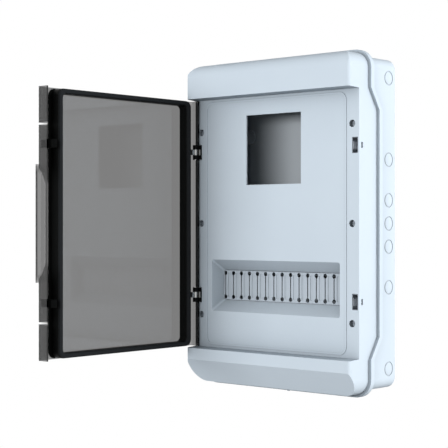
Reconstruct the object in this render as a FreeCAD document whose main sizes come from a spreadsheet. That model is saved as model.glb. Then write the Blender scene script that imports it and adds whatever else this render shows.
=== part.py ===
"""Electric meter box for wall mounting, in millimetres.

Frame: the origin is the centre of the rear face on the wall, +X is to the right seen from the
front, +Y points into the wall and +Z is up. The enclosure is a rear box and a front cover that
meet at a stepped lip. The smoked door hangs on two pins at the left and stands open at a right
angle. Door pieces are drawn as if the door were shut and are then turned about the hinge axis.
"""
import FreeCAD, Part
import os
import re
import Sketcher
from FreeCAD import Placement, Rotation, Vector

doc = FreeCAD.newDocument("meter_box")
sheet = doc.addObject("Spreadsheet::Sheet", "Sizes")

# Driving dimensions in millimetres, angles in degrees.
# Distances that end in _off are measured from the wall.
DRIVING = {
    "cover_width": 348.8,
    "cover_height": 545,
    "cover_corner": 26,
    "cover_wall": 2.5,
    "front_off": 130,
    "panel_off": 105,
    "recess_height": 426,
    "recess_flare": 1.5,
    "header_round": 24,
    "edge_round": 6,
    "slant_start": 234,
    "slant_angle": 34,
    "lip_end_off": 79.2,
    "lip_mid_off": 56.4,
    "step_inner": 181,
    "step_outer": 215.5,
    "lip_proud": 5,
    "lip_band": 9,
    "lip_wall": 3,
    "nub_x": 9,
    "nub_wide": 4,
    "nub_tall": 1.4,
    "seam_depth": 4,
    "seal_thick": 1,
    "seal_width": 3,
    "rim_thick": 3,
    "fit_gap": 0.5,
    "box_side_in": 1.9,
    "box_end_in": 5.5,
    "box_corner": 18,
    "box_wall": 3,
    "box_edge": 5,
    "knock_dia": 23.6,
    "knock_sink": 0.8,
    "knock_off": 21.3,
    "knock_near": 37.5,
    "knock_middle": 103,
    "knock_far": 234.9,
    "wall_hole_dia": 6.5,
    "wall_hole_wide": 280,
    "wall_hole_tall": 470,
    "bead_width": 297,
    "bead_height": 414,
    "bead_round": 12,
    "bead_thick": 3,
    "bead_proud": 0.8,
    "window_width": 116.6,
    "window_height": 117,
    "window_z": 123.5,
    "tray_flare_wide": 7.4,
    "tray_flare_tall": 18.5,
    "tray_z": -106,
    "tray_depth": 23.3,
    "tray_round": 4,
    "strip_end": 3.5,
    "floor_height": 51.2,
    "strip_thick": 1.6,
    "strip_rim": 3,
    "strip_rim_thick": 1.5,
    "strip_lap": 1.5,
    "strip_gap": 0.3,
    "module_pitch": 18,
    "module_count": 14,
    "slot_length": 41,
    "slot_width": 1.6,
    "slot_hole_dia": 5.2,
    "groove_width": 3.6,
    "groove_depth": 0.6,
    "screw_in": 13.3,
    "screw_z": 157.7,
    "sink_dia": 11.5,
    "sink_depth": 10,
    "sink_floor": 2,
    "sink_wall": 2.2,
    "pass_dia": 5.4,
    "pilot_dia": 4.2,
    "pilot_depth": 15,
    "post_dia": 13,
    "rail_length": 280,
    "rail_tall": 35,
    "rail_inner": 27,
    "rail_deep": 7.5,
    "rail_thick": 1,
    "rail_front_off": 31,
    "rail_post_x": 120,
    "small_post_dia": 12,
    "plate_width": 254,
    "plate_bottom": 24,
    "plate_top": 222,
    "plate_off": 15,
    "plate_thick": 2,
    "plate_post_x": 112,
    "plate_post_low": 38,
    "plate_post_high": 208,
    "lug_dia": 26,
    "lug_z": 152.5,
    "lug_proud": 3,
    "bar_x": 70,
    "bar_up": 75,
    "bar_length": 110,
    "bar_tall": 9,
    "bar_deep": 8,
    "bar_holes": 7,
    "bar_pitch": 14,
    "wire_hole_dia": 4,
    "holder_deep": 19,
    "holder_tall": 13,
    "holder_length": 122,
    "latch_z": 123.5,
    "pocket_in": 13.4,
    "pocket_tall": 25.5,
    "pocket_depth": 14,
    "pocket_wall": 2,
    "seal_hole_dia": 5,
    "seal_hole_apart": 5.2,
    "seal_slit": 3.4,
    "seal_hole_in": 8,
    "keeper_wall": 1.2,
    "hinge_in": 5.8,
    "hinge_proud": 8,
    "hinge_z": 123.5,
    "hinge_length": 25,
    "barrel_length": 9.4,
    "knuckle_dia": 9,
    "knuckle_gap": 0.35,
    "barrel_dia": 7.2,
    "pin_dia": 4,
    "pin_gap": 0.05,
    "pin_seat_gap": 0.02,
    "bracket_left": 4.4,
    "bracket_right": 8,
    "bracket_thick": 3,
    "door_end_gap": 0.5,
    "door_wall": 3,
    "door_clear": 1,
    "hinge_wall_clear": 4.6,
    "door_edge_round": 8,
    "door_inner_round": 5,
    "hinge_notch_tall": 26,
    "hinge_notch_gap": 2.5,
    "latch_slot_z": 154.4,
    "latch_slot_wide": 3.3,
    "latch_slot_reach": 22,
    "grip_outer": 92,
    "grip_inner": 62,
    "grip_strip": 4.5,
    "grip_proud": 2.7,
    "grip_wide": 24,
    "grip_out": 1.6,
    "grip_round": 3.5,
    "pane_trim": 0.2,
    "grip_slope": 10,
    "frame_x": -2.05,
    "frame_width": 299.3,
    "frame_height": 422,
    "frame_band": 8,
    "frame_round": 12,
    "door_seal_tall": 4.6,
    "door_seal_gap": 0.4,
    "leaf_thick": 2,
    "leaf_arm": 2.4,
    "leaf_post_in": 6.4,
    "leaf_foot_in": 2.8,
    "leaf_reach": 14.6,
    "leaf_tall": 22,
    "hook_in": 8.3,
    "hook_thick": 3.2,
    "hook_tall": 12.5,
    "hook_reach": 10,
    "hook_gap": 0.7,
    "hook_barb_deep": 4,
}

for row, (alias, number) in enumerate(DRIVING.items(), start=1):
    sheet.set(f"A{row}", alias)
    sheet.set(f"B{row}", str(number))
    sheet.setAlias(f"B{row}", alias)
doc.recompute()

WORD = re.compile(r"[a-z_]+")
AXES = {"x": Vector(1, 0, 0), "y": Vector(0, 1, 0), "z": Vector(0, 0, 1)}
UPPER_LOWER = (("upper", 1), ("lower", -1))
LEFT_RIGHT = (("left", -1), ("right", 1))
sub_parts = []


def ex(text):
    """Expression text with each driving dimension named by its cell in the sheet."""
    return WORD.sub(lambda word: "Sizes." + word[0] if word[0] in DRIVING else word[0], str(text))


def val(text):
    """Present value of an expression."""
    return float(sheet.evalExpression(ex(text)))


def fresh(kind, name):
    """New document object whose label does not clash with a sub-part's."""
    return doc.addObject(kind, "g_" + name)


def block(name, x, y, z):
    """Box between a low and a high expression along each axis."""
    box = fresh("Part::Box", name)
    for axis, size, span in (("x", "Length", x), ("y", "Width", y), ("z", "Height", z)):
        low, high = span
        box.setExpression(f"Placement.Base.{axis}", ex(low))
        box.setExpression(size, ex(f"({high}) - ({low})"))
    return box


def along_axis(item, axis, centre, span):
    """Stand a round or many-sided primitive along an axis, from low to high, on a centre."""
    item.Placement = Placement(Vector(), Rotation(AXES["z"], AXES[axis]))
    low, high = span
    others = [other for other in "xyz" if other != axis]
    for other, place in zip(others, centre):
        item.setExpression(f"Placement.Base.{other}", ex(place))
    item.setExpression(f"Placement.Base.{axis}", ex(low))
    item.setExpression("Height", ex(f"({high}) - ({low})"))
    return item


def rod(name, axis, centre, diameter, span):
    """Cylinder along an axis."""
    cylinder = along_axis(fresh("Part::Cylinder", name), axis, centre, span)
    cylinder.setExpression("Radius", ex(f"({diameter}) / 2"))
    return cylinder


def eight_sided(name, axis, centre, across, span):
    """Eight-sided rod along an axis, for posts and small holes that repeat."""
    bar = along_axis(fresh("Part::Prism", name), axis, centre, span)
    bar.Polygon = 8
    bar.setExpression("Circumradius", ex(f"({across}) / 2"))
    return bar


def outline(body, name, plane, points, offset):
    """Closed sketch on an origin plane of the body, each corner placed by two expressions."""
    sketch = body.newObject("Sketcher::SketchObject", "s_" + name)
    origin_plane = next(item for item in body.Origin.OriginFeatures if item.Role == plane + "_Plane")
    sketch.AttachmentSupport = (origin_plane, [""])
    sketch.MapMode = "FlatFace"
    sketch.setExpression("AttachmentOffset.Base.z", ex(offset))
    corners = [Vector(val(first), val(second), 0) for first, second in points]
    count = len(points)
    for index in range(count):
        sketch.addGeometry(Part.LineSegment(corners[index], corners[(index + 1) % count]), False)
    for index in range(count):
        sketch.addConstraint(Sketcher.Constraint("Coincident", index, 2, (index + 1) % count, 1))
    for index, point in enumerate(points):
        for kind, letter, place in (("DistanceX", "x", point[0]), ("DistanceY", "y", point[1])):
            number = sketch.addConstraint(Sketcher.Constraint(kind, -1, 1, index, 1, val(place)))
            sketch.renameConstraint(number, f"p{index}{letter}")
            sketch.setExpression(f"Constraints.p{index}{letter}", ex(place))
    return sketch


def round_edges(body, name, base, wanted, radius):
    """Fillet on the edges of the last feature that the test picks out."""
    doc.recompute()
    names = [f"Edge{index}" for index, edge in enumerate(base.Shape.Edges, start=1) if wanted(edge)]
    if not names:
        raise RuntimeError(f"no edge to round on {name}")
    fillet = body.newObject("PartDesign::Fillet", "f_" + name)
    fillet.Base = (base, names)
    fillet.setExpression("Radius", ex(radius))
    return fillet


# Axes that a sketch on each plane draws along, and the axis and sense of its normal.
PLANES = {"XY": ("x", "y", "z", 1), "XZ": ("x", "z", "y", -1), "YZ": ("y", "z", "x", 1)}
TOUCH = 1e-4


def prism(name, plane, points, span, rounds=()):
    """Body padded from an outline between two places along the plane's normal.

    rounds holds pairs of corner numbers and a radius: those corners of the outline are rounded.
    """
    first, second, normal, sense = PLANES[plane]
    low, high = span
    start = low if sense > 0 else f"-({high})"
    body = fresh("PartDesign::Body", name)
    sketch = outline(body, name, plane, points, start)
    pad = body.newObject("PartDesign::Pad", "p_" + name)
    pad.Profile = sketch
    pad.setExpression("Length", ex(f"({high}) - ({low})"))
    last = pad
    for order, (corners, radius) in enumerate(rounds):
        places = [(val(points[corner][0]), val(points[corner][1])) for corner in corners]

        def at_corner(edge):
            middle = edge.CenterOfMass
            along = abs(edge.tangentAt(edge.FirstParameter).dot(AXES[normal]))
            here = (getattr(middle, first), getattr(middle, second))
            near = any(max(abs(here[0] - a), abs(here[1] - b)) < TOUCH for a, b in places)
            return along > 1 - TOUCH and near

        last = round_edges(body, f"{name}_{order}", last, at_corner, radius)
    body.Tip = last
    return body


def rounded_panel(name, half_width, half_height, corner, span):
    """Rounded rectangle seen from the front, padded between two places along Y."""
    x, z = f"({half_width})", f"({half_height})"
    points = [(f"-{x}", f"-{z}"), (x, f"-{z}"), (x, z), (f"-{x}", z)]
    return prism(name, "XZ", points, span, [(range(4), corner)])


def joined(kind, name, pieces):
    """Boolean of several pieces: Part::MultiFuse or Part::MultiCommon."""
    result = fresh(kind, name)
    result.Shapes = pieces
    return result


def fuse(name, pieces):
    """Pieces made one."""
    return joined("Part::MultiFuse", name, pieces)


def common(name, pieces):
    """What all the pieces share."""
    return joined("Part::MultiCommon", name, pieces)


def cut(name, base, tools):
    """Base with the tools taken away."""
    result = fresh("Part::Cut", name)
    result.Base = base
    result.Tool = tools[0] if len(tools) == 1 else fuse(name + "_tools", tools)
    return result


def sub_part(label, shape):
    """Give a finished piece its own label, which names its file."""
    shape.Label = label
    sub_parts.append(shape)
    return shape


def hang_on_hinge(label, shape):
    """Finished door piece, turned from shut to open at a right angle about the hinge axis."""
    shape.Placement = Placement(Vector(), Rotation(AXES["z"], -90))
    shape.setExpression("Placement.Base.x", ex(f"{HINGE_X} - ({HINGE_Y})"))
    shape.setExpression("Placement.Base.y", ex(f"({HINGE_Y}) + {HINGE_X}"))
    return sub_part(label, shape)


# Places that several pieces share.
PANEL_Y = "-panel_off"
FRONT_Y = "-front_off"
HINGE_Y = "-panel_off - hinge_proud"
COVER_HALF_X = "cover_width / 2"
COVER_HALF_Z = "cover_height / 2"
HINGE_X = "(hinge_in - cover_width / 2)"
SCREW_X = "(cover_width / 2 - screw_in)"
POCKET_X = "(cover_width / 2 - pocket_in)"
FLOOR_HALF_X = "(module_count * module_pitch / 2 + strip_end)"
FLOOR_HALF_Z = "(floor_height / 2)"
BAR_Z = "(box_end_in + bar_up - cover_height / 2)"
BEYOND = "cover_height / 2 + lip_proud + lip_wall"
SEAL_FAR = "seam_depth + seal_thick"
RIM_FAR = "seam_depth + seal_thick + rim_thick"
SLANT_RUN = "(cover_height / 2 - slant_start) * tan(slant_angle)"


def stepped_edge(depth, sense):
    """Corner points of the stepped lip line in side view, depth behind the lip's front face."""
    end = f"-(lip_end_off - ({depth}))"
    middle = f"-(lip_mid_off - ({depth}))"
    line = [(end, BEYOND), (end, "step_outer"), (middle, "step_inner"),
            (middle, "-step_inner"), (end, "-step_outer"), (end, f"-({BEYOND})")]
    return line if sense > 0 else line[::-1]


def stepped_band(name, near, far, half_width, half_height, corner):
    """Solid band between two depths of the lip line, cut to a rounded rectangle in front view."""
    reach = f"({half_width}) + lip_wall"
    points = stepped_edge(near, 1) + stepped_edge(far, -1)
    slab = prism(name + "_slab", "YZ", points, (f"-({reach})", reach))
    plan = rounded_panel(name + "_plan", half_width, half_height, corner, (FRONT_Y, "0"))
    return common(name, [slab, plan])


def cover_hull(name, inset, depth):
    """Solid of the cover's form with every face moved in by inset, ending at a depth of the lip."""
    top = f"({COVER_HALF_Z} - {inset})"
    side = f"({COVER_HALF_X} - {inset})"
    front = f"-(front_off - {inset})"
    panel = f"-(panel_off - {inset})"
    recess = f"(recess_height / 2 + {inset})"
    slant_in = f"(slant_start - {inset} * tan(slant_angle / 2))"
    slant_out = f"-(front_off - {SLANT_RUN}) + {inset} * tan(45 - slant_angle / 2)"
    end = f"-(lip_end_off - ({depth}))"
    profile = [(panel, recess), (front, f"{recess} + recess_flare"), (front, top), (end, top)]
    profile += stepped_edge(depth, 1)[1:-1]
    profile += [(end, f"-{top}"), (slant_out, f"-{top}"), (front, f"-{slant_in}"),
                (front, f"-({recess} + recess_flare)"), (panel, f"-{recess}")]
    side_view = prism(name + "_side", "YZ", profile, (f"-{side}", side),
                      [([2], f"header_round - {inset}")])
    front_view = rounded_panel(name + "_front", side, top, f"cover_corner - {inset}", (FRONT_Y, "0"))
    plan = [(f"-{side}", "0"), (side, "0"), (side, front), (f"-{side}", front)]
    plan_view = prism(name + "_plan", "XY", plan, (f"-{top}", top), [([2, 3], f"edge_round - {inset}")])
    return common(name, [side_view, front_view, plan_view])


def funnel(name, opening, floor, front_y, rear_y, corner):
    """Body that tapers from the tray's opening to its floor, each a half width and a half height."""
    wide, tall = opening
    narrow, low = floor
    plan = [(f"-({wide})", front_y), (wide, front_y), (narrow, rear_y), (f"-({narrow})", rear_y)]
    side = [(front_y, f"tray_z - ({tall})"), (front_y, f"tray_z + ({tall})"),
            (rear_y, f"tray_z + ({low})"), (rear_y, f"tray_z - ({low})")]
    body = prism(name + "_plan", "XY", plan, (f"tray_z - ({tall})", f"tray_z + ({tall})"))
    side_view = prism(name + "_side", "YZ", side, (f"-({wide})", wide))
    both = body.newObject("PartDesign::Boolean", "b_" + name)
    both.Type = "Common"
    both.setObjects([side_view])

    def slopes(edge):
        return abs(edge.tangentAt(edge.FirstParameter).y) > TOUCH

    body.Tip = round_edges(body, name, both, slopes, corner)
    return body


# Rear box: a moulded tray with a rim flange, posts for screws and sunk discs to knock out.
BOX_HALF_X = "(cover_width / 2 - box_side_in)"
BOX_HALF_Z = "(cover_height / 2 - box_end_in)"
RIM_HALF_X = "cover_width / 2 + lip_proud - lip_wall - fit_gap"
RIM_HALF_Z = "cover_height / 2 + lip_proud - lip_wall - fit_gap"
RIM_CORNER = "cover_corner + lip_proud - lip_wall - fit_gap"
SINK_REAR_Y = "-panel_off + sink_depth + sink_floor"
RAIL_REAR_Y = "-rail_front_off + rail_deep"
PLATE_REAR_Y = "-plate_off + plate_thick"

box_front = stepped_edge(SEAL_FAR, 1)
box_profile = [("0", BEYOND)] + box_front + [("0", f"-({BEYOND})")]
box_side = prism("box_side", "YZ", box_profile, (f"-({BOX_HALF_X})", BOX_HALF_X))
box_plan = rounded_panel("box_plan", BOX_HALF_X, BOX_HALF_Z, "box_corner", (FRONT_Y, "0"))
box_plan.Tip = round_edges(box_plan, "box_back", box_plan.Tip,
                           lambda edge: edge.BoundBox.YMin > -TOUCH, "box_edge")
box_body = common("box_body", [box_side, box_plan])
box_rim = stepped_band("box_rim", SEAL_FAR, RIM_FAR, RIM_HALF_X, RIM_HALF_Z, RIM_CORNER)
box_hollow = rounded_panel("box_hollow", f"{BOX_HALF_X} - box_wall", f"{BOX_HALF_Z} - box_wall",
                           "box_corner - box_wall", (FRONT_Y, "-box_wall"))
box_shell = cut("box_shell", fuse("box_solid", [box_body, box_rim]), [box_hollow])

screw_places = [(f"{side} * {SCREW_X}", f"{level} * screw_z") for side in (-1, 1) for level in (-1, 0, 1)]
rail_places = [("-rail_post_x", "tray_z"), ("rail_post_x", "tray_z")]
plate_places = [(f"{side} * plate_post_x", level) for side in (-1, 1)
                for level in ("plate_post_low", "plate_post_high")]
post_groups = (("cover_post", screw_places, "post_dia", SINK_REAR_Y),
               ("rail_post", rail_places, "small_post_dia", RAIL_REAR_Y),
               ("plate_post", plate_places, "small_post_dia", PLATE_REAR_Y))
box_posts = []
for group, places, diameter, end_y in post_groups:
    for index, place in enumerate(places):
        box_posts.append(eight_sided(f"{group}_{index}", "y", place, diameter, (end_y, "-box_wall / 2")))

box_cuts = []
for index, place in enumerate(screw_places):
    span = (SINK_REAR_Y, f"{SINK_REAR_Y} + pilot_depth")
    box_cuts.append(eight_sided(f"pilot_{index}", "y", place, "pilot_dia", span))
levels = ["0"]
for name in ("knock_near", "knock_middle", "knock_far"):
    levels += [name, f"-{name}"]
for index, level in enumerate(levels):
    for name, sense in LEFT_RIGHT:
        outer = f"{sense} * {BOX_HALF_X}"
        inner = f"{sense} * ({BOX_HALF_X} - knock_sink)"
        span = (inner, outer) if sense > 0 else (outer, inner)
        box_cuts.append(rod(f"knock_{name}_{index}", "x", ("-knock_off", level), "knock_dia", span))
for name, sense in LEFT_RIGHT:
    for end, level in UPPER_LOWER:
        place = (f"{sense} * wall_hole_wide / 2", f"{level} * wall_hole_tall / 2")
        box_cuts.append(rod(f"wall_hole_{name}_{end}", "y", place, "wall_hole_dia", ("-2 * box_wall", "0")))

rear_box = sub_part("rear_box", cut("box_final", fuse("box_posted", [box_shell] + box_posts), box_cuts))

# Strip seal in the stepped seam, between the cover's step and the box's rim.
SEAL_OUT_X = "cover_width / 2 - cover_wall + fit_gap + seal_width"
SEAL_OUT_Z = "cover_height / 2 - cover_wall + fit_gap + seal_width"
seal_outer = stepped_band("seal_outer", "seam_depth", SEAL_FAR, SEAL_OUT_X, SEAL_OUT_Z, "cover_corner")
seal_hole = rounded_panel("seal_hole", f"{SEAL_OUT_X} - seal_width", f"{SEAL_OUT_Z} - seal_width",
                          "cover_corner - seal_width", (FRONT_Y, "0"))
sub_part("box_seal", cut("seal_ring", seal_outer, [seal_hole]))

# Front cover: two headers, recessed panel, sunk module tray, latch pockets and the stepped lip.
cover_outer = cover_hull("cover_outer", "0", "seam_depth")
cover_lip = stepped_band("cover_lip", "0", "lip_band", "cover_width / 2 + lip_proud",
                         "cover_height / 2 + lip_proud", "cover_corner + lip_proud")
cover_hollow = cover_hull("cover_hollow", "cover_wall", "lip_band + 1")
lip_hollow = stepped_band("lip_hollow", "seam_depth", "lip_band + 1", f"{RIM_HALF_X} + fit_gap",
                          f"{RIM_HALF_Z} + fit_gap", f"{RIM_CORNER} + fit_gap")
cover_shell = cut("cover_shell", fuse("cover_solid", [cover_outer, cover_lip]), [cover_hollow, lip_hollow])

TRAY_REAR_Y = "-panel_off + tray_depth + strip_thick"
FLOOR = (FLOOR_HALF_X, FLOOR_HALF_Z)
OPENING = (f"{FLOOR_HALF_X} + tray_flare_wide", f"{FLOOR_HALF_Z} + tray_flare_tall")
tray_inside = funnel("tray_inside", OPENING, FLOOR, PANEL_Y, TRAY_REAR_Y, "tray_round")
tray_outside = funnel("tray_outside", [f"{half} + cover_wall" for half in OPENING],
                      [f"{half} + cover_wall" for half in FLOOR],
                      "-panel_off + cover_wall / 2", TRAY_REAR_Y, "tray_round + cover_wall")

INTO_PANEL = "-panel_off + cover_wall / 2"
bead_span = ("-panel_off - bead_proud", INTO_PANEL)
bead_outer = rounded_panel("bead_outer", "(bead_width + bead_thick) / 2", "(bead_height + bead_thick) / 2",
                           "bead_round + bead_thick / 2", bead_span)
bead_inner = rounded_panel("bead_inner", "(bead_width - bead_thick) / 2", "(bead_height - bead_thick) / 2",
                           "bead_round - bead_thick / 2", bead_span)
cover_adds = [tray_outside, cut("bead", bead_outer, [bead_inner])]
cover_cuts = [tray_inside]
for index, place in enumerate(screw_places):
    sleeve_span = (INTO_PANEL, SINK_REAR_Y)
    sink_floor_y = "-panel_off + sink_depth"
    sleeve_across = "sink_dia + 2 * sink_wall"
    cover_adds.append(eight_sided(f"sleeve_{index}", "y", place, sleeve_across, sleeve_span))
    cover_cuts.append(rod(f"sink_{index}", "y", place, "sink_dia", (PANEL_Y, sink_floor_y)))
    cover_cuts.append(eight_sided(f"pass_{index}", "y", place, "pass_dia", (sink_floor_y, SINK_REAR_Y)))
nub_z = f"-({COVER_HALF_Z} + lip_proud)"
cover_adds.append(block("nub", ("nub_x - nub_wide / 2", "nub_x + nub_wide / 2"),
                        ("-lip_end_off + lip_band / 4", "-lip_end_off + lip_band / 2"),
                        (f"{nub_z} - nub_tall", f"{nub_z} + lip_wall / 2")))
half_window = "window_width / 2"
cover_cuts.append(block("window", (f"-{half_window}", half_window), (PANEL_Y, "-panel_off + cover_wall"),
                        ("window_z - window_height / 2", "window_z + window_height / 2")))

POCKET_OUTER_X = "(cover_width / 2 - cover_wall)"
HALF_POCKET = "pocket_tall / 2"
for name, sense in UPPER_LOWER:
    level = f"{sense} * latch_z"
    shell_z = f"({HALF_POCKET} + pocket_wall)"
    shell_x = (f"{POCKET_X} - pocket_wall", f"{POCKET_OUTER_X} + cover_wall / 2")
    shell_y = (INTO_PANEL, "-panel_off + pocket_depth + pocket_wall")
    cover_adds.append(block(f"pocket_{name}", shell_x, shell_y,
                            (f"{level} - {shell_z}", f"{level} + {shell_z}")))
    cover_cuts.append(block(f"pocket_void_{name}", (POCKET_X, POCKET_OUTER_X),
                            (PANEL_Y, "-panel_off + pocket_depth"),
                            (f"{level} - {HALF_POCKET}", f"{level} + {HALF_POCKET}")))
    through = (f"{POCKET_OUTER_X} - cover_wall / 2", COVER_HALF_X)
    hole_y = "-panel_off + seal_hole_in"
    for end, side in UPPER_LOWER:
        hole_z = f"{level} + {side} * seal_hole_apart / 2"
        cover_cuts.append(rod(f"seal_hole_{name}_{end}", "x", (hole_y, hole_z), "seal_hole_dia", through))
    cover_cuts.append(block(f"seal_slit_{name}", through,
                            (f"{hole_y} - seal_slit / 2", f"{hole_y} + seal_slit / 2"),
                            (f"{level} - seal_hole_apart / 2", f"{level} + seal_hole_apart / 2")))
sub_part("front_cover", cut("cover_final", fuse("cover_built", [cover_shell] + cover_adds), cover_cuts))

# Blanking strip: one blank per module, parted by slits that end in eight-sided holes.
STRIP_FRONT_Y = "-panel_off + tray_depth"
strip_half_x = f"({FLOOR_HALF_X} - strip_gap)"
strip_half_z = f"({FLOOR_HALF_Z} - strip_gap)"
rim_half_x = f"({FLOOR_HALF_X} + strip_rim)"
rim_half_z = f"({FLOOR_HALF_Z} + strip_rim)"
lap_half_x = f"({strip_half_x} - strip_lap)"
lap_half_z = f"({strip_half_z} - strip_lap)"
RIM_REAR_Y = f"{TRAY_REAR_Y} + strip_rim_thick"
strip_low = f"tray_z - {strip_half_z}"
strip_high = f"tray_z + {strip_half_z}"
strip_plan = [(f"-{strip_half_x}", strip_low), (strip_half_x, strip_low),
              (strip_half_x, strip_high), (f"-{strip_half_x}", strip_high)]
strip_plate = prism("strip_plate", "XZ", strip_plan, (STRIP_FRONT_Y, TRAY_REAR_Y), [(range(4), "tray_round")])
strip_rim = block("strip_rim", (f"-{rim_half_x}", rim_half_x), (TRAY_REAR_Y, RIM_REAR_Y),
                  (f"tray_z - {rim_half_z}", f"tray_z + {rim_half_z}"))
strip_cuts = [block("strip_void", (f"-{lap_half_x}", lap_half_x), (TRAY_REAR_Y, RIM_REAR_Y),
                    (f"tray_z - {lap_half_z}", f"tray_z + {lap_half_z}"))]
module_count = int(val("module_count"))
half_slot = "slot_length / 2"
for index in range(module_count + 1):
    x = f"({index} - module_count / 2) * module_pitch"
    strip_cuts.append(block(f"slit_{index}", (f"{x} - slot_width / 2", f"{x} + slot_width / 2"),
                            (STRIP_FRONT_Y, TRAY_REAR_Y), (f"tray_z - {half_slot}", f"tray_z + {half_slot}")))
    for name, sense in UPPER_LOWER:
        place = (x, f"tray_z + {sense} * {half_slot}")
        strip_cuts.append(eight_sided(f"slit_end_{name}_{index}", "y", place, "slot_hole_dia",
                                      (STRIP_FRONT_Y, TRAY_REAR_Y)))
for index in range(module_count):
    x = f"({index} + 0.5 - module_count / 2) * module_pitch"
    strip_cuts.append(block(f"blank_groove_{index}", (f"{x} - groove_width / 2", f"{x} + groove_width / 2"),
                            (STRIP_FRONT_Y, f"{STRIP_FRONT_Y} + groove_depth"),
                            (f"tray_z - {half_slot}", f"tray_z + {half_slot}")))
sub_part("blanking_strip", cut("strip_final", fuse("strip_solid", [strip_plate, strip_rim]), strip_cuts))

# Top-hat rail on its two posts.
RAIL_FRONT_Y = "-rail_front_off"
RAIL_BEND_Y = "-rail_front_off + rail_thick"
RAIL_FLOOR_Y = f"{RAIL_REAR_Y} - rail_thick"
hat = [(RAIL_FRONT_Y, "rail_tall / 2"), (RAIL_FRONT_Y, "rail_inner / 2 - rail_thick"),
       (RAIL_FLOOR_Y, "rail_inner / 2 - rail_thick"), (RAIL_FLOOR_Y, "-rail_inner / 2 + rail_thick"),
       (RAIL_FRONT_Y, "-rail_inner / 2 + rail_thick"), (RAIL_FRONT_Y, "-rail_tall / 2"),
       (RAIL_BEND_Y, "-rail_tall / 2"), (RAIL_BEND_Y, "-rail_inner / 2"),
       (RAIL_REAR_Y, "-rail_inner / 2"), (RAIL_REAR_Y, "rail_inner / 2"),
       (RAIL_BEND_Y, "rail_inner / 2"), (RAIL_BEND_Y, "rail_tall / 2")]
hat = [(y, f"tray_z + {z}") for y, z in hat]
sub_part("din_rail", prism("rail", "YZ", hat, ("-rail_length / 2", "rail_length / 2")))

# Meter plate on four posts, with a round lug at each side.
plate_parts = [block("plate", ("-plate_width / 2", "plate_width / 2"), ("-plate_off", PLATE_REAR_Y),
                     ("plate_bottom", "plate_top"))]
for name, sense in LEFT_RIGHT:
    plate_parts.append(rod(f"plate_lug_{name}", "y", (f"{sense} * plate_width / 2", "lug_z"), "lug_dia",
                           ("-plate_off - lug_proud", PLATE_REAR_Y)))
sub_part("meter_plate", fuse("plate_final", plate_parts))


def terminal_bar(kind, sense):
    """Brass terminal bar with a row of wire holes, on an insulating holder."""
    middle = f"{sense} * bar_x"
    seat_y = "-box_wall - holder_deep"
    face_y = f"{seat_y} - bar_deep"
    foot_z = (f"{BAR_Z} - holder_tall / 2", f"{BAR_Z} + holder_tall / 2")
    bar_span = (f"{BAR_Z} - bar_tall / 2", f"{BAR_Z} + bar_tall / 2")
    foot = block(f"{kind}_foot", (f"{middle} - holder_length / 2", f"{middle} + holder_length / 2"),
                 (seat_y, "-box_wall"), foot_z)
    bridge = block(f"{kind}_bridge", (f"{middle} - bar_length / 4", f"{middle} + bar_length / 4"),
                   ("-box_wall - holder_deep / 2", "-box_wall"), foot_z)
    sub_part(f"{kind}_bar_holder", cut(f"{kind}_holder_final", foot, [bridge]))
    bar = block(f"{kind}_blank", (f"{middle} - bar_length / 2", f"{middle} + bar_length / 2"),
                (face_y, seat_y), bar_span)
    holes = []
    for index in range(int(val("bar_holes"))):
        x = f"{middle} + ({index} - (bar_holes - 1) / 2) * bar_pitch"
        place = (x, f"{seat_y} - bar_deep / 2")
        holes.append(eight_sided(f"{kind}_wire_{index}", "z", place, "wire_hole_dia", bar_span))
    sub_part(f"{kind}_bar", cut(f"{kind}_bar_final", bar, holes))


terminal_bar("neutral", -1)
terminal_bar("earth", 1)

# Dark liners in the latch pockets, round the hooks on the door.
for name, sense in UPPER_LOWER:
    level = f"{sense} * latch_z"
    pocket_y = (PANEL_Y, "-panel_off + pocket_depth")
    wall_x = f"{POCKET_X} + keeper_wall"
    walls = [block(f"liner_side_{name}", (POCKET_X, wall_x), pocket_y,
                   (f"{level} - {HALF_POCKET}", f"{level} + {HALF_POCKET}"))]
    for end, side in UPPER_LOWER:
        near = f"{level} + {side} * ({HALF_POCKET} - keeper_wall)"
        far = f"{level} + {side} * {HALF_POCKET}"
        span = (near, far) if side > 0 else (far, near)
        walls.append(block(f"liner_{name}_{end}", (POCKET_X, POCKET_OUTER_X), pocket_y, span))
    sub_part(f"latch_keeper_{name}", fuse(f"liner_{name}", walls))

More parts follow.
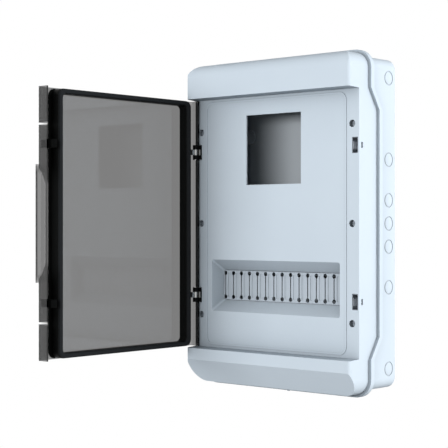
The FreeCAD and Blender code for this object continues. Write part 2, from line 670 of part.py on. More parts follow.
# Hinges: a bracket with two knuckles on the cover, a pin, and a leaf with one barrel on the door.
PANE_Y = "-front_off + door_wall"
BRACKET_FACE_Y = "-panel_off - bracket_thick"
for name, sense in UPPER_LOWER:
    level = f"{sense} * hinge_z"
    half = "hinge_length / 2"
    whole = (f"{level} - {half}", f"{level} + {half}")
    axis = (HINGE_X, HINGE_Y)
    knuckles = [block(f"bracket_base_{name}", (f"{HINGE_X} - bracket_left", f"{HINGE_X} + bracket_right"),
                      (BRACKET_FACE_Y, PANEL_Y), whole)]
    for end, side in UPPER_LOWER:
        near = f"{level} + {side} * (barrel_length / 2 + knuckle_gap)"
        far = f"{level} + {side} * {half}"
        span = (near, far) if side > 0 else (far, near)
        knuckles.append(rod(f"knuckle_{name}_{end}", "z", axis, "knuckle_dia", span))
        cheek_x = (f"{HINGE_X} - knuckle_dia / 2", f"{HINGE_X} + knuckle_dia / 2")
        knuckles.append(block(f"cheek_{name}_{end}", cheek_x, (HINGE_Y, BRACKET_FACE_Y), span))
    bore = rod(f"bracket_bore_{name}", "z", axis, "pin_dia + 2 * pin_seat_gap", whole)
    bracket = fuse(f"bracket_solid_{name}", knuckles)
    sub_part(f"hinge_bracket_{name}", cut(f"bracket_{name}", bracket, [bore]))
    sub_part(f"hinge_pin_{name}", rod(f"pin_{name}", "z", axis, "pin_dia", whole))

    barrel_span = (f"{level} - barrel_length / 2", f"{level} + barrel_length / 2")
    post_x = f"{HINGE_X} + leaf_post_in"
    arm_y = f"{HINGE_Y} + leaf_arm / 2"
    leaf = [rod(f"barrel_{name}", "z", axis, "barrel_dia", barrel_span),
            block(f"leaf_arm_{name}", (HINGE_X, f"{post_x} + leaf_arm"),
                  (f"{HINGE_Y} - leaf_arm / 2", arm_y), barrel_span),
            block(f"leaf_post_{name}", (post_x, f"{post_x} + leaf_arm"), (PANE_Y, arm_y), barrel_span),
            block(f"leaf_foot_{name}", (f"{HINGE_X} + leaf_foot_in", f"{HINGE_X} + leaf_reach"),
                  (PANE_Y, f"{PANE_Y} + leaf_thick"),
                  (f"{level} - leaf_tall / 2", f"{level} + leaf_tall / 2"))]
    leaf_bore = rod(f"leaf_bore_{name}", "z", axis, "pin_dia + 2 * pin_gap", barrel_span)
    hang_on_hinge(f"hinge_leaf_{name}", cut(f"leaf_{name}", fuse(f"leaf_solid_{name}", leaf), [leaf_bore]))

# Door: a smoked moulding with a flange down each side and a hollow finger grip on the free edge.
DOOR_HALF_X = COVER_HALF_X
DOOR_HALF_Z = "(recess_height / 2 - door_end_gap)"
FREE_END_Y = "-panel_off - door_clear"
HINGE_END_Y = "-panel_off - hinge_wall_clear"
INSIDE_X = "(cover_width / 2 - door_wall)"
channel = [(f"-{DOOR_HALF_X}", HINGE_END_Y), (f"-{DOOR_HALF_X}", FRONT_Y), (DOOR_HALF_X, FRONT_Y),
           (DOOR_HALF_X, FREE_END_Y), (INSIDE_X, FREE_END_Y), (INSIDE_X, PANE_Y),
           (f"-{INSIDE_X}", PANE_Y), (f"-{INSIDE_X}", HINGE_END_Y)]
door_channel = prism("door_channel", "XY", channel, (f"-{DOOR_HALF_Z}", DOOR_HALF_Z),
                     [([1, 2], "door_edge_round"), ([5, 6], "door_inner_round")])


def grip_form(name, inset, base):
    """Raised grip on the free edge: a rounded bar in plan with sloped ends in side view."""
    outer_x = f"({DOOR_HALF_X} + grip_out - {inset})"
    inner_x = f"({DOOR_HALF_X} - grip_wide + {inset})"
    front = f"(-front_off - grip_proud + {inset})"
    high = f"(grip_outer - {inset})"
    shoulder = f"(-front_off + {inset})"
    plan = [(inner_x, base), (outer_x, base), (outer_x, front), (f"{inner_x} + grip_proud", front)]
    plan_view = prism(name + "_plan", "XY", plan, (f"-{high}", high),
                      [([2, 3], f"grip_round - {inset}")])
    side = [(base, f"-{high}"), (base, high), (shoulder, high), (front, f"{high} - grip_slope"),
            (front, f"-({high} - grip_slope)"), (shoulder, f"-{high}")]
    side_view = prism(name + "_side", "YZ", side, (inner_x, outer_x))
    return common(name, [plan_view, side_view])


# Cuts beside the pane go a little way into it, past the foot of its inner rounding.
TRIM_Y = f"{PANE_Y} - pane_trim"
TRIM_X = f"({INSIDE_X} - door_inner_round - pane_trim)"
grip_solid = grip_form("grip_solid", "0", "-front_off + door_wall / 2")
grip_hollow = grip_form("grip_hollow", "door_wall", f"{PANE_Y} + pane_trim")
finger = [(TRIM_Y, "-grip_outer"), (TRIM_Y, "grip_outer"), (f"{FREE_END_Y} - grip_strip", "grip_inner"),
          (f"{FREE_END_Y} - grip_strip", "-grip_inner")]
door_cuts = [grip_hollow, prism("finger_gap", "YZ", finger, (TRIM_X, f"{DOOR_HALF_X} + grip_out"))]
for name, sense in UPPER_LOWER:
    slot_z = f"{sense} * latch_slot_z"
    door_cuts.append(block(f"latch_slot_{name}", (f"{DOOR_HALF_X} - latch_slot_reach", DOOR_HALF_X),
                           (FRONT_Y, FREE_END_Y),
                           (f"{slot_z} - latch_slot_wide / 2", f"{slot_z} + latch_slot_wide / 2")))
    notch_z = f"{sense} * hinge_z"
    door_cuts.append(block(f"hinge_notch_{name}", (f"-{DOOR_HALF_X}", f"-{INSIDE_X}"),
                           (f"{HINGE_Y} - knuckle_dia / 2 - hinge_notch_gap", HINGE_END_Y),
                           (f"{notch_z} - hinge_notch_tall / 2", f"{notch_z} + hinge_notch_tall / 2")))
hang_on_hinge("door_panel", cut("door_final", fuse("door_solid", [door_channel, grip_solid]), door_cuts))

# Black frame round the clear field, and the seal that its face carries.
SEAL_FACE_Y = "-panel_off - bead_proud - door_seal_gap"
SEAL_ROOT_Y = f"{SEAL_FACE_Y} - door_seal_tall"


def field_ring(name, span):
    """Ring of the frame's width round the clear field of the door."""
    half_z = "(frame_height / 2)"
    edges = []
    for end, inset in (("outer", "0"), ("inner", "frame_band")):
        left = f"frame_x - frame_width / 2 + {inset}"
        right = f"frame_x + frame_width / 2 - {inset}"
        points = [(left, f"-{half_z} + {inset}"), (right, f"-{half_z} + {inset}"),
                  (right, f"{half_z} - {inset}"), (left, f"{half_z} - {inset}")]
        rounds = [(range(4), f"frame_round - {inset} / 2")]
        edges.append(prism(f"{name}_{end}", "XZ", points, span, rounds))
    return cut(name, edges[0], [edges[1]])


hang_on_hinge("window_frame", field_ring("field_frame", (PANE_Y, SEAL_ROOT_Y)))
hang_on_hinge("door_seal", field_ring("field_seal", (SEAL_ROOT_Y, SEAL_FACE_Y)))

# Snap hooks on the pane beside the free edge. Each barb faces the slot in the side of its pocket.
HOOK_OUTER_X = f"({DOOR_HALF_X} - hook_in)"
HOOK_INNER_X = f"({HOOK_OUTER_X} - hook_thick)"
BARB_X = f"({POCKET_OUTER_X} - hook_gap)"
HOOK_END_Y = "(-panel_off + hook_reach)"
for name, sense in UPPER_LOWER:
    level = f"{sense} * latch_z"
    barb_y = f"{HOOK_END_Y} - hook_barb_deep"
    hook = [(HOOK_INNER_X, PANE_Y), (HOOK_OUTER_X, PANE_Y), (HOOK_OUTER_X, barb_y), (BARB_X, barb_y),
            (HOOK_OUTER_X, HOOK_END_Y), (HOOK_INNER_X, HOOK_END_Y)]
    hook_z = (f"{level} - hook_tall / 2", f"{level} + hook_tall / 2")
    hang_on_hinge(f"latch_hook_{name}", prism(f"hook_{name}", "XY", hook, hook_z))

doc.recompute()
for item in doc.Objects:
    if "Invalid" in item.State or "Error" in item.State:
        raise RuntimeError(f"{item.Label} failed: {item.State}")
for piece in sub_parts:
    if piece.Shape.isNull() or not piece.Shape.isValid() or not piece.Shape.Solids:
        raise RuntimeError(f"{piece.Label} has no valid solid")

os.makedirs("parts", exist_ok=True)
for piece in sub_parts:
    piece.Shape.exportStep(f"parts/{piece.Label}.step")
    print(f"{piece.Label}: {len(piece.Shape.Solids)} solids, {piece.Shape.Volume / 1000:.2f} cm3")
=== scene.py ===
import math

import bpy
from mathutils import Matrix, Vector


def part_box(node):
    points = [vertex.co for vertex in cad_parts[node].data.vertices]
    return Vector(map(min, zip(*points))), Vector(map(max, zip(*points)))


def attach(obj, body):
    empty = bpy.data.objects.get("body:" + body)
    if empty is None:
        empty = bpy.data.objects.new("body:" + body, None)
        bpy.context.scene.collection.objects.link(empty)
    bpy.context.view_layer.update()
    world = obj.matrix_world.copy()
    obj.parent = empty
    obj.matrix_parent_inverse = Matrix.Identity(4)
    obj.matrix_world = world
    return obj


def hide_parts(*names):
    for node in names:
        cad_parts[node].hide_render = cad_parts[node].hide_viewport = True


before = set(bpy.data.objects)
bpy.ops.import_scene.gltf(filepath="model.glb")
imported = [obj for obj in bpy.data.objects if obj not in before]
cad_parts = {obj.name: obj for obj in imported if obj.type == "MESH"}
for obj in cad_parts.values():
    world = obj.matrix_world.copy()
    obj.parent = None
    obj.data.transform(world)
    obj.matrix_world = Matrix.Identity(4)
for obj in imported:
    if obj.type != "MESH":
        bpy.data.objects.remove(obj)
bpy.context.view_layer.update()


# Rear box: the deep tray that carries everything else. It is injection moulded in light grey ABS,
# and screwed to the wall through four holes in its back.
MM = 0.001


def linear(code):
    """Linear colour with alpha from an sRGB hex code."""
    parts = [int(code[i:i + 2], 16) / 255 for i in (1, 3, 5)]
    return [c / 12.92 if c <= 0.04045 else ((c + 0.055) / 1.055) ** 2.4 for c in parts] + [1.0]


def add(tree, kind, inputs, **settings):
    """Node with its settings, and its inputs set to values or linked to other nodes' outputs."""
    node = tree.nodes.new(kind)
    for name, value in settings.items():
        setattr(node, name, value)
    for socket, value in inputs.items():
        if isinstance(value, bpy.types.NodeSocket):
            tree.links.new(value, node.inputs[socket])
        else:
            node.inputs[socket].default_value = value
    return node


def mix_colours(tree, factor, first, second, **settings):
    """Output of a mix node for two colours, whose sockets on that node are known by number."""
    first_socket, second_socket, output = 6, 7, 2
    node = add(tree, "ShaderNodeMix", {"Factor": factor, first_socket: first, second_socket: second},
               data_type="RGBA", **settings)
    return node.outputs[output]


def new_finish(name):
    """Node material, with its tree, its shader and Object coordinates."""
    finish = bpy.data.materials.new(name)
    finish.use_nodes = True
    tree = finish.node_tree
    place = add(tree, "ShaderNodeTexCoord", {}).outputs["Object"]
    return finish, tree, tree.nodes["Principled BSDF"], place


def moulded_plastic(name, dark, light, roughness, shine,
                    grain_mm=0.9, grain_depth_mm=0.03, painted_shade_keep=1.0):
    """Moulded plastic: a drift in the colour as the melt flowed, the mould's spark texture,
    and painted shade that darkens the colour in hollows and corners, down to the share given for them, if
    that share is under 1."""
    finish, tree, shader, place = new_finish(name)
    flow_mm = 90
    flow = add(tree, "ShaderNodeTexNoise", {"Vector": place, "Scale": 1 / (flow_mm * MM), "Detail": 3.0})
    colour = mix_colours(tree, flow.outputs["Fac"], linear(dark), linear(light))
    if painted_shade_keep < 1:
        # Painted shade: the colour is darkened where an occlusion test finds hollows and corners.
        painted_shade_reach_mm = 90
        hollow = add(tree, "ShaderNodeAmbientOcclusion", {"Distance": painted_shade_reach_mm * MM})
        share = add(tree, "ShaderNodeMapRange", {"Value": hollow.outputs["AO"], "To Min": painted_shade_keep})
        colour = mix_colours(tree, 1.0, colour, share.outputs["Result"], blend_type="MULTIPLY")
    tree.links.new(colour, shader.inputs["Base Color"])
    grain = add(tree, "ShaderNodeTexNoise", {"Vector": place, "Scale": 1 / (grain_mm * MM), "Detail": 2.0})
    spread = 0.06
    polish = add(tree, "ShaderNodeMapRange", {"Value": grain.outputs["Fac"], "To Min": roughness - spread,
                                              "To Max": roughness + spread})
    tree.links.new(polish.outputs["Result"], shader.inputs["Roughness"])
    relief = 0.3
    bump = add(tree, "ShaderNodeBump", {"Height": grain.outputs["Fac"], "Strength": relief,
                                        "Distance": grain_depth_mm * MM})
    tree.links.new(bump.outputs["Normal"], shader.inputs["Normal"])
    plastic_ior = 1.53
    shader.inputs["IOR"].default_value = plastic_ior
    shader.inputs["Specular IOR Level"].default_value = shine
    return finish


def dress(finish, *nodes):
    """Give CAD nodes a finish."""
    for node in nodes:
        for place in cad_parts[node].material_slots:
            place.material = finish


# Light grey ABS: a cool satin grey with a faint drift in it, and painted shade that darkens it in hollows
# and corners.
light_grey_abs = moulded_plastic("light_grey_abs", "#C6D2DD", "#CCD8E2", roughness=0.6, shine=0.06,
                                 painted_shade_keep=0.2)
dress(light_grey_abs, "rear_box")


# Knock-outs: thin round webs in the side walls, moulded flush with them inside a narrow groove.
# They are broken out for cable glands, seven on each side.
RIGHT = Vector((1, 0, 0))
FRONT = Vector((0, -1, 0))
FACING = 0.9


def to_object_mode():
    """Leave edit mode, with nothing selected."""
    if bpy.context.object and bpy.context.object.mode == "EDIT":
        bpy.ops.object.mode_set(mode="OBJECT")
    bpy.ops.object.select_all(action="DESELECT")


def start_round(name, radius, depth, sides, axis):
    """New disc in edit mode at the origin, its axis along x or y, in millimetres."""
    turns = {"x": (0, math.pi / 2, 0), "y": (math.pi / 2, 0, 0)}
    to_object_mode()
    bpy.ops.mesh.primitive_cylinder_add(vertices=sides, radius=radius * MM, depth=depth * MM,
                                        rotation=turns[axis])
    bpy.ops.object.transform_apply(location=True, rotation=True, scale=True)
    bpy.context.object.name = name
    bpy.ops.object.mode_set(mode="EDIT")
    return bpy.context.object


def pick_faces(piece, *directions):
    """Select the faces of the piece in edit mode that face one of some directions."""
    bpy.ops.mesh.select_mode(type="FACE")
    bpy.ops.mesh.select_all(action="DESELECT")
    bpy.ops.object.mode_set(mode="OBJECT")
    for face in piece.data.polygons:
        face.select = any(face.normal.dot(direction) > FACING for direction in directions)
    bpy.ops.object.mode_set(mode="EDIT")


def finish_piece(piece, finish, body, smooth_to=30):
    """Smooth the shading of a piece, and give it its finish, slot and body."""
    to_object_mode()
    piece.select_set(True)
    bpy.context.view_layer.objects.active = piece
    bpy.ops.object.shade_smooth_by_angle(angle=math.radians(smooth_to))
    piece.data.materials.clear()
    piece.data.materials.append(finish)
    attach(piece, body)


def set_out(piece, places):
    """Copy a piece to places in millimetres, each with its own mesh, and join the copies as one."""
    to_object_mode()
    name = piece.name
    made = []
    for place in places:
        copy = piece.copy()
        copy.data = piece.data.copy()
        copy.data.transform(Matrix.Translation([step * MM for step in place]))
        bpy.context.collection.objects.link(copy)
        made.append(copy)
    bpy.data.objects.remove(piece)
    for copy in made:
        copy.select_set(True)
    bpy.context.view_layer.objects.active = made[0]
    bpy.ops.object.join()
    made[0].name = name
    return made[0]


web_radius = 10.0
web_thick = 0.8
web_soften = 0.25
web_sides = 56
web_y = -21.3
web_levels = [-234.9, -103, -37.5, 0, 37.5, 103, 234.9]
box_half_x = 172.5
web_x = box_half_x - web_thick / 2
webs = start_round("knock_out_webs", web_radius, web_thick, web_sides, "x")
pick_faces(webs, RIGHT, -RIGHT)
bpy.ops.mesh.bevel(offset=web_soften * MM, segments=2)
webs = set_out(webs, [(side * web_x, web_y, level) for side in (-1, 1) for level in web_levels])
finish_piece(webs, light_grey_abs, "enclosure")


# Box seal: a strip of black foamed rubber, cut from sheet.
# It is pressed between the rim of the box and the cover.

# Foam rubber: a dull near-black, because its cut cells scatter the light.
foam_rubber = moulded_plastic("foam_rubber", "#1A1C1E", "#212325", roughness=0.8, shine=0.1,
                              grain_mm=0.6, grain_depth_mm=0.08)
dress(foam_rubber, "box_seal")


# Terminal bars: drawn brass bars on black holders at the foot of the box, neutral and earth.
# Each has seven clamp screws of plated steel.
def plated_metal(name, dark, light, roughness):
    """Plated or drawn metal: soft clouding in the colour and the polish."""
    finish, tree, shader, place = new_finish(name)
    cloud_mm = 6
    cloud = add(tree, "ShaderNodeTexNoise", {"Vector": place, "Scale": 1 / (cloud_mm * MM), "Detail": 4.0})
    colour = mix_colours(tree, cloud.outputs["Fac"], linear(dark), linear(light))
    tree.links.new(colour, shader.inputs["Base Color"])
    spread = 0.08
    polish = add(tree, "ShaderNodeMapRange", {"Value": cloud.outputs["Fac"], "To Min": roughness - spread,
                                              "To Max": roughness + spread})
    tree.links.new(polish.outputs["Result"], shader.inputs["Roughness"])
    shader.inputs["Metallic"].default_value = 1.0
    return finish


def space(node):
    """Two corners of the box that a CAD node fills, in millimetres."""
    return [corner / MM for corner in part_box(node)]


def start_block(name, low, high):
    """New box in edit mode between two corners in millimetres."""
    to_object_mode()
    middle = [(a + b) / 2 * MM for a, b in zip(low, high)]
    size = [(b - a) * MM for a, b in zip(low, high)]
    bpy.ops.mesh.primitive_cube_add(size=1, location=middle, scale=size)
    bpy.ops.object.transform_apply(location=True, rotation=True, scale=True)
    bpy.context.object.name = name
    bpy.ops.object.mode_set(mode="EDIT")
    return bpy.context.object


def carve(piece, cutter):
    """Cut one mesh out of another."""
    to_object_mode()
    piece.select_set(True)
    bpy.context.view_layer.objects.active = piece
    cut = piece.modifiers.new("cut", "BOOLEAN")
    cut.operation = "DIFFERENCE"
    cut.solver = "EXACT"
    cut.object = cutter
    bpy.ops.object.modifier_apply(modifier=cut.name)
    bpy.data.objects.remove(cutter)


def slotted_head(name, radius, tall, slot_wide):
    """Cheese head that stands forward from the origin, with a rounded rim and a driver slot."""
    head_sides = 48
    head = start_round(name, radius, tall, head_sides, "y")
    bpy.ops.mesh.select_all(action="SELECT")
    bpy.ops.transform.translate(value=(0, -tall / 2 * MM, 0))
    pick_faces(head, FRONT)
    bpy.ops.mesh.bevel(offset=tall / 4 * MM, segments=3)
    slot_floor = -tall * 0.55
    slot = start_block("driver_slot", (-2 * radius, -2 * tall, -slot_wide / 2),
                       (2 * radius, slot_floor, slot_wide / 2))
    carve(head, slot)
    return head


# Black ABS: near black, with a soft sheen.
black_abs = moulded_plastic("black_abs", "#090A0A", "#0E0F0F", roughness=0.45, shine=0.06,
                            grain_mm=0.8, grain_depth_mm=0.02)
dress(black_abs, "neutral_bar_holder", "earth_bar_holder")
# Drawn brass: warm yellow metal, softly clouded.
drawn_brass = plated_metal("drawn_brass", "#C9A863", "#DDC07F", roughness=0.28)
dress(drawn_brass, "neutral_bar", "earth_bar")
# Zinc-plated steel: pale grey metal with a half-bright polish.
zinc_plate = plated_metal("zinc_plated_steel", "#A8A9A8", "#C6C7C5", roughness=0.34)
clamp_pitch = 14
clamps_each_side = 3
clamp_steps = range(-clamps_each_side, clamps_each_side + 1)
clamp_places = []
for bar in ("neutral_bar", "earth_bar"):
    low, high = space(bar)
    middle = (low + high) / 2
    clamp_places += [(middle.x + step * clamp_pitch, low.y, middle.z) for step in clamp_steps]
clamps = set_out(slotted_head("clamp_screws", radius=3, tall=2.6, slot_wide=1), clamp_places)
finish_piece(clamps, zinc_plate, "enclosure")


# Rail: a 35 mm top-hat rail, rolled from zinc-plated steel strip, for devices behind the tray.
# Two screws hold it to posts in the box.

# Rolled zinc strip: a dull grey metal, painted dark to stand in for the shade behind the slits of the
# blanking strip.
painted_shade_zinc = plated_metal("rolled_zinc_strip", "#5C5E60", "#727476", roughness=0.5)
dress(painted_shade_zinc, "din_rail")
low, high = space("din_rail")
rail_thick = 1
rail_face = high.y - rail_thick
rail_z = (low.z + high.z) / 2
rail_screw_x = 120
rail_screws = set_out(slotted_head("rail_screws", radius=4, tall=2.6, slot_wide=1.2),
                      [(side * rail_screw_x, rail_face, rail_z) for side in (-1, 1)])
finish_piece(rail_screws, zinc_plate, "enclosure")


# Meter plate: a grey moulded plate that the meter is screwed to, seen through the window.
# Four screws hold it to posts in the box.

# Mid grey ABS: a plain satin grey, darker than the housing.
mid_grey_abs = moulded_plastic("mid_grey_abs", "#A2A8AD", "#ABB1B6", roughness=0.55, shine=0.3)
dress(mid_grey_abs, "meter_plate")
plate_face = -15
plate_screw_x = 112
plate_screw_levels = (38, 208)
plate_screws = set_out(slotted_head("meter_plate_screws", radius=4, tall=2.6, slot_wide=1.2),
                       [(side * plate_screw_x, plate_face, level)
                        for side in (-1, 1) for level in plate_screw_levels])
finish_piece(plate_screws, zinc_plate, "enclosure")


# Front cover: one moulding of the same light grey ABS, with two headers and a sunk panel between them.
# Its stepped lip closes over the rim of the box, and six screws hold it.
dress(light_grey_abs, "front_cover")


# Cover screws: six slotted plastic screws, sunk in round holes down both sides of the panel.
# They are moulded in a darker grey than the cover.

# Screw grey ABS: a darker satin grey, so that the heads show as dots in their holes.
screw_grey_abs = moulded_plastic("screw_grey_abs", "#7E868F", "#8A929B", roughness=0.5, shine=0.3)
sink_floor = -95
cover_screw_x = 161.1
cover_screw_levels = (-157.7, 0, 157.7)
cover_screws = set_out(slotted_head("cover_screws", radius=5, tall=3.6, slot_wide=1.5),
                       [(side * cover_screw_x, sink_floor, level)
                        for side in (-1, 1) for level in cover_screw_levels])
finish_piece(cover_screws, screw_grey_abs, "enclosure")


# Blanking strip: a thin moulded strip at the back of the tray, one blank for each 18 mm module.
# Slits that end in round holes part the blanks, and a shallow channel runs down each one.
def along(axis):
    """Test for edges that run along one axis, named by its letter."""
    number = "xyz".index(axis)
    shortest = 0.5 * MM
    return lambda start, end: abs(start[number] - end[number]) > shortest


def pick_edges(piece, wanted):
    """Select the edges of the piece in edit mode whose two ends pass a test."""
    bpy.ops.mesh.select_mode(type="EDGE")
    bpy.ops.mesh.select_all(action="DESELECT")
    bpy.ops.object.mode_set(mode="OBJECT")
    for edge in piece.data.edges:
        start, end = (piece.data.vertices[index].co for index in edge.vertices)
        edge.select = wanted(start, end)
    bpy.ops.object.mode_set(mode="EDIT")


low, high = space("blanking_strip")
strip_z = (low.z + high.z) / 2
strip_half_x = 129.2
strip_half_z = 25.3
strip_thick = 1.3
strip_corner = 4
strip_front = low.y
strip_rear = strip_front + strip_thick
module_pitch = 18
module_count = 14
slit_half = 20.5
slit_wide = 1.9
slit_end = 3.7
slit_end_sides = 24
channel_wide = 4.5
channel_deep = 0.7
channel_shift = -1
strip = start_block("blanking_strip_detail", (-strip_half_x, strip_front, strip_z - strip_half_z),
                    (strip_half_x, strip_rear, strip_z + strip_half_z))
pick_edges(strip, along("y"))
bpy.ops.mesh.bevel(offset=strip_corner * MM, segments=6)
before = strip_front - strip_thick
behind = strip_rear + strip_thick
first_slit = -module_count / 2 * module_pitch
slit_places = [(first_slit + step * module_pitch, 0, 0) for step in range(module_count + 1)]
slit = start_block("slits", (-slit_wide / 2, before, strip_z - slit_half),
                   (slit_wide / 2, behind, strip_z + slit_half))
carve(strip, set_out(slit, slit_places))
ends = start_round("slit_ends", slit_end, behind - before, slit_end_sides, "y")
ends = set_out(ends, [(0, (before + behind) / 2, strip_z + side * slit_half) for side in (-1, 1)])
carve(strip, set_out(ends, slit_places))
first_channel = first_slit + module_pitch / 2 + channel_shift
channel = start_block("channels", (-channel_wide / 2, before, strip_z - slit_half),
                      (channel_wide / 2, strip_front + channel_deep, strip_z + slit_half))
channel_places = [(first_channel + step * module_pitch, 0, 0) for step in range(module_count)]
carve(strip, set_out(channel, channel_places))
# Strip grey ABS: a little darker than the housing, a painted shade that makes the strip lie back in the
# tray, and more painted shade in its hollows and corners.
painted_shade_strip_abs = moulded_plastic("painted_shade_strip_abs", "#B8C2CC", "#BFC9D2", roughness=0.6, shine=0.06,
                                 painted_shade_keep=0.3)
finish_piece(strip, painted_shade_strip_abs, "enclosure")
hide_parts("blanking_strip")


# Latch liners: mouldings pressed into the two pockets that the door's hooks enter, dark grey as painted
# shade for the depth of the pockets. A catch of two ribs lies on each liner's wall, paler grey as a
# painted highlight on the ribs, and a pad on its floor is there to stop the hook.
def sink_front(piece, rim, depth):
    """Sink the front face of a block, and leave a rim round it."""
    pick_faces(piece, FRONT)
    bpy.ops.mesh.inset(thickness=rim * MM)
    bpy.ops.mesh.extrude_region_move(TRANSFORM_OT_translate={"value": (0, depth * MM, 0)})


# Liner grey ABS: a dark satin grey, painted shade that makes the pockets look deep.
painted_shade_liner_abs = moulded_plastic("painted_shade_liner_abs", "#626870", "#6C727A", roughness=0.5, shine=0.3)
dress(painted_shade_liner_abs, "latch_keeper_upper", "latch_keeper_lower")
# Catch grey ABS: a paler satin grey, a painted highlight that shows the ribs inside the dark pockets.
painted_light_catch_abs = moulded_plastic("painted_light_catch_abs", "#A4ABB3", "#AEB5BD", roughness=0.5, shine=0.3)
liner_wall = 1.2
catch_thick = 0.5
catch_half = 6.5
catch_front = 0.6
catch_rear = 1.6
catch_soften = 0.2
gap_front = 3.8
gap_rear = 7.4
past = 0.5
pad_left = 4
pad_right = 2
pad_tall = 1.4
pad_half = 8
for end in ("upper", "lower"):
    low, high = space("latch_keeper_" + end)
    middle = (low.z + high.z) / 2
    wall = low.x + liner_wall
    face = wall + catch_thick
    catch = start_block("latch_catch_" + end, (wall, low.y + catch_front, middle - catch_half),
                        (face, high.y - catch_rear, middle + catch_half))
    pick_faces(catch, RIGHT)
    bpy.ops.mesh.bevel(offset=catch_soften * MM, segments=2)
    gap = start_block("catch_gap", (wall - past, low.y + gap_front, middle - catch_half - past),
                      (face + past, low.y + gap_rear, middle + catch_half + past))
    carve(catch, gap)
    finish_piece(catch, painted_light_catch_abs, "enclosure")
    pad = start_block("latch_pad_" + end, (low.x + pad_left, high.y - pad_tall, middle - pad_half),
                      (high.x - pad_right, high.y, middle + pad_half))
    sink_front(pad, rim=1.2, depth=0.6)
    finish_piece(pad, screw_grey_abs, "enclosure")


# Hinges on the cover: black brackets with two knuckles each, and a steel pin through them.
# A plated clip between the knuckles holds each bracket to the cover.
dress(black_abs, "hinge_bracket_upper", "hinge_bracket_lower")
dress(zinc_plate, "hinge_pin_upper", "hinge_pin_lower")
bracket_thick = 3
clip_left = 9.2
clip_right = 12
clip_tall = 1.2
clip_half = 5
for end in ("upper", "lower"):
    low, high = space("hinge_bracket_" + end)
    middle = (low.z + high.z) / 2
    face = high.y - bracket_thick
    clip = start_block("hinge_clip_" + end, (low.x + clip_left, face - clip_tall, middle - clip_half),
                       (low.x + clip_right, face, middle + clip_half))
    sink_front(clip, rim=0.9, depth=0.5)
    finish_piece(clip, zinc_plate, "enclosure")


# Door: one moulding with side flanges, a finger grip and slots for the latch, hung on the two pins.
# It is clear acrylic with a smoke tint in the melt.

# Smoked acrylic: grey glass that darkens where it is thick or seen on the slant,
# with a polish that has a slow waviness from the mould.
smoked_acrylic, tree, shader, place = new_finish("smoked_acrylic")
wave_mm = 120
brightest, dullest = 0.01, 0.04
acrylic_ior = 1.49
smoke_per_metre = 430.0
wave = add(tree, "ShaderNodeTexNoise", {"Vector": place, "Scale": 1 / (wave_mm * MM), "Detail": 1.0})
polish = add(tree, "ShaderNodeMapRange", {"Value": wave.outputs["Fac"], "To Min": brightest,
                                          "To Max": dullest})
tree.links.new(polish.outputs["Result"], shader.inputs["Roughness"])
shader.inputs["Base Color"].default_value = linear("#FFFFFF")
shader.inputs["IOR"].default_value = acrylic_ior
shader.inputs["Transmission Weight"].default_value = 1.0
smoke = add(tree, "ShaderNodeVolumeAbsorption", {"Color": linear("#000000"), "Density": smoke_per_metre})
tree.links.new(smoke.outputs["Volume"], tree.nodes["Material Output"].inputs["Volume"])
dress(smoked_acrylic, "door_panel")


# Hinge leaves: pressed steel, zinc plated, with a rolled barrel for the pin.
# Two rivets hold each leaf to the door.
dress(zinc_plate, "hinge_leaf_upper", "hinge_leaf_lower")
leaf_thick = 2
rivet_radius = 2.1
rivet_tall = 0.9
rivet_round = 0.6
rivet_sides = 32
rivet_inset = 4
rivet_half_gap = 7.5
for end in ("upper", "lower"):
    low, high = space("hinge_leaf_" + end)
    middle = (low.z + high.z) / 2
    rivet_x = low.x + leaf_thick + rivet_tall / 2
    rivets = start_round("leaf_rivets_" + end, rivet_radius, rivet_tall, rivet_sides, "x")
    pick_faces(rivets, RIGHT)
    bpy.ops.mesh.bevel(offset=rivet_round * MM, segments=3)
    rivets = set_out(rivets, [(rivet_x, low.y + rivet_inset, middle + side * rivet_half_gap)
                              for side in (-1, 1)])
    finish_piece(rivets, zinc_plate, "door")


# Window frame and seal: a black moulded frame with a thin foot, bonded round the clear field of the door.
# A round-backed strip of foamed rubber on its face is turned to the panel when the door is shut.
BOND = 0.05


def front_borders(piece, front):
    """Pairs of vertices that bound the faces of a ring that lie in its front plane."""
    flat = 0.01 * MM
    sides = {}
    for face in piece.data.polygons:
        facing = face.normal.dot(RIGHT) > FACING and abs(face.center.x - front) < flat
        for key in face.edge_keys:
            sides.setdefault(key, []).append(facing)
    return {key for key, facing in sides.items() if sorted(facing) == [False, True]}


def soft_ring(name, node, corner, inner_corner, band, soften, margin):
    """Rectangular ring in the space of a node and a margin inside it, a layer of bond off the pane,
    with rounded corners outside and inside and softened front edges."""
    low, high = space(node)
    piece = start_block(name, (low.x + BOND, low.y + margin, low.z + margin),
                        (high.x, high.y - margin, high.z - margin))
    pick_edges(piece, along("x"))
    bpy.ops.mesh.bevel(offset=(corner - margin) * MM, segments=8)
    side = band - margin
    field = start_block("clear_field", (low.x - band, low.y + side, low.z + side),
                        (high.x + band, high.y - side, high.z - side))
    pick_edges(field, along("x"))
    bpy.ops.mesh.bevel(offset=inner_corner * MM, segments=8)
    carve(piece, field)
    bpy.ops.object.mode_set(mode="EDIT")
    bpy.ops.mesh.select_mode(type="EDGE")
    bpy.ops.mesh.select_all(action="DESELECT")
    bpy.ops.object.mode_set(mode="OBJECT")
    borders = front_borders(piece, high.x * MM)
    for edge in piece.data.edges:
        edge.select = edge.key in borders
    bpy.ops.object.mode_set(mode="EDIT")
    bpy.ops.mesh.bevel(offset=soften * MM, segments=4)
    return piece


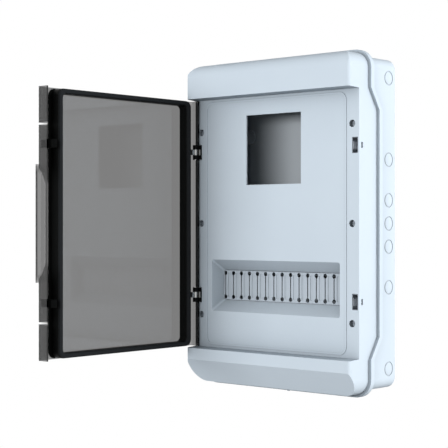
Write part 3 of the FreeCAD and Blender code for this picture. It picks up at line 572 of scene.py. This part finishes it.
frame_ring = soft_ring("window_frame_ring", "window_frame", corner=12, inner_corner=8, band=8,
                       soften=0.8, margin=0)
finish_piece(frame_ring, black_abs, "door", smooth_to=20)
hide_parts("window_frame")
low, high = space("window_frame")
foot_wide = 6
foot_under = 7.5
foot_thick = 1.2
foot_corner = 12
foot = start_block("window_frame_foot", (low.x + BOND, low.y - foot_wide, low.z),
                   (low.x + foot_thick, low.y + foot_under, high.z))
pick_edges(foot, lambda start, end: along("x")(start, end) and max(start.y, end.y) < low.y * MM)
bpy.ops.mesh.bevel(offset=foot_corner * MM, segments=8)
finish_piece(foot, black_abs, "door")
seal_ring = soft_ring("door_seal_ring", "door_seal", corner=12, inner_corner=8, band=8,
                      soften=1.8, margin=0.6)
finish_piece(seal_ring, foam_rubber, "door", smooth_to=20)
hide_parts("door_seal")


# Latch hooks: black acetal snap hooks beside the free edge, bonded to the pane.
# They enter the pockets in the panel when the door is shut.

# Black acetal: a deeper black than the frame, nearly without sheen.
black_acetal = moulded_plastic("black_acetal", "#040505", "#070808", roughness=0.5, shine=0.04,
                               grain_mm=0.8, grain_depth_mm=0.02)
dress(black_acetal, "latch_hook_upper", "latch_hook_lower")


# Studio: two soft lamps in a white surround, above a floor. The surround lights most from the horizon,
# the front lamp gives the faces their level, and the right lamp makes the side bright.
# Gloss and glass show the white surround and a pale floor, and not the lamps.
def seen_or_plain(tree, plain, seen, target):
    """One shader to the camera and in gloss and glass, and the plain one for all other light."""
    path = add(tree, "ShaderNodeLightPath", {})
    either = add(tree, "ShaderNodeMath",
                 {0: path.outputs["Is Camera Ray"], 1: path.outputs["Is Glossy Ray"]}, operation="MAXIMUM")
    either = add(tree, "ShaderNodeMath",
                 {0: either.outputs[0], 1: path.outputs["Is Transmission Ray"]}, operation="MAXIMUM")
    mix = add(tree, "ShaderNodeMixShader", {0: either.outputs[0], 1: plain, 2: seen})
    tree.links.new(mix.outputs[0], target)


floor_wide = 6
floor_level = -1.9
to_object_mode()
bpy.ops.mesh.primitive_plane_add(size=floor_wide, location=(0, 0, floor_level))
floor = bpy.context.object
floor.name = "studio_floor"
# Floor paint: a matt grey in the light that it throws back, and nearly white to the eye.
floor_paint, tree, shader, _ = new_finish("pale_floor_paint")
shader.inputs["Base Color"].default_value = linear("#7C7C7C")
shader.inputs["Roughness"].default_value = 0.9
pale = add(tree, "ShaderNodeEmission", {"Color": linear("#FFFFFF"), "Strength": 1.0})
pale_share = 0.8
shaded = add(tree, "ShaderNodeMixShader", {0: pale_share, 1: shader.outputs[0], 2: pale.outputs[0]})
seen_or_plain(tree, shader.outputs[0], shaded.outputs[0], tree.nodes["Material Output"].inputs["Surface"])
floor.data.materials.append(floor_paint)

world = bpy.data.worlds.new("studio_surround")
world.use_nodes = True
bpy.context.scene.world = world
tree = world.node_tree
surround = tree.nodes["Background"]
surround.inputs["Color"].default_value = linear("#FFFFFF")
overhead, level, below = 0.14, 0.46, 0.24
direction = add(tree, "ShaderNodeTexCoord", {}).outputs["Generated"]
height = add(tree, "ShaderNodeSeparateXYZ", {0: direction}).outputs["Z"]
upper = add(tree, "ShaderNodeMapRange", {"Value": height, "To Min": level, "To Max": overhead})
strength = add(tree, "ShaderNodeMapRange", {"Value": height, "From Min": -1.0, "From Max": 0.0,
                                            "To Min": below, "To Max": upper.outputs["Result"]})
tree.links.new(strength.outputs["Result"], surround.inputs["Strength"])
backdrop = add(tree, "ShaderNodeBackground", {"Color": linear("#FFFFFF"), "Strength": 1.0})
seen_or_plain(tree, surround.outputs[0], backdrop.outputs[0], tree.nodes["World Output"].inputs["Surface"])


def soft_box(name, at, wide, tall, power):
    """Rectangular area lamp that looks at the origin, unseen in gloss and glass."""
    bpy.ops.object.light_add(type="AREA", location=at)
    lamp = bpy.context.object
    lamp.name = name
    lamp.data.shape = "RECTANGLE"
    lamp.data.size = wide
    lamp.data.size_y = tall
    lamp.data.energy = power
    lamp.visible_glossy = False
    lamp.visible_transmission = False
    lamp.rotation_euler = Vector(at).to_track_quat("Z", "Y").to_euler()


soft_box("right_lamp", at=(2.6, 0.8, 0.3), wide=1.7, tall=1.5, power=82)
soft_box("front_lamp", at=(0.1, -2.5, 0.25), wide=2.5, tall=0.5, power=52)

camera_at = (1.3769, -1.7731, -0.0008)
camera_turn = math.radians(41.697)
bpy.ops.object.camera_add(location=camera_at, rotation=(math.pi / 2, 0, camera_turn))
camera = bpy.context.object
camera.name = "photo_camera"
camera.data.sensor_width = 36
camera.data.lens = 104.88
bpy.context.scene.camera = camera
bpy.context.scene.view_settings.view_transform = "Standard"
